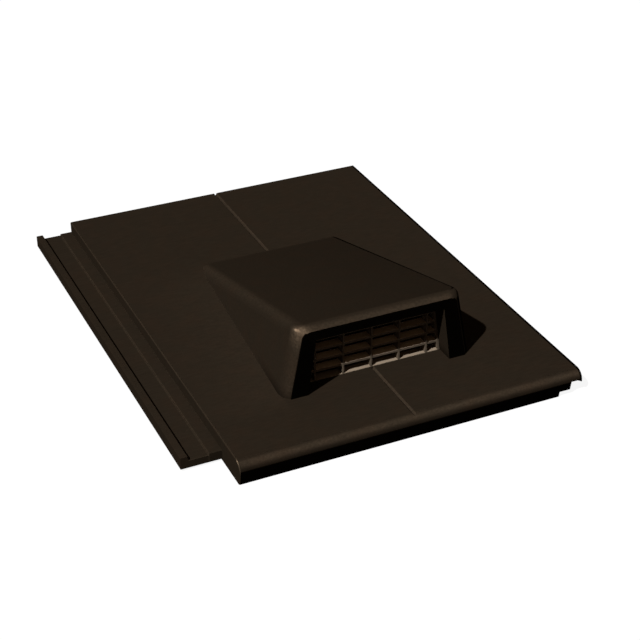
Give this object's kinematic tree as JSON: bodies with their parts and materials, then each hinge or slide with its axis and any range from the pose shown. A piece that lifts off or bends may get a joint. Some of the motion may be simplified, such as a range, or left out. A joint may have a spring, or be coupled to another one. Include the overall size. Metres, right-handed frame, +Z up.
{
  "type": "roof tile vent",
  "caption": "Flat interlocking roof tile moulded with a wedge-shaped vent hood, whose recessed mouth holds a louvred grille.",
  "frame": {"origin": "under the middle of the tile's plan, on the surface that the tile lies on", "axes": "+X across the roof to the overlap side, +Y up the slope from the tail to the head, +Z up out of the roof"},
  "size_m": [0.33, 0.42, 0.0803],
  "materials": {
    "tile_plastic": "dark brown, fine riven grain on the deck, smoother fine moulded grain on the hood",
    "grille_plastic": "warm grey-beige, satin"
  },
  "bodies": {
    "root": {"vent_tile": "tile_plastic", "louvre_grille": "grille_plastic"}
  },
  "joints": []
}
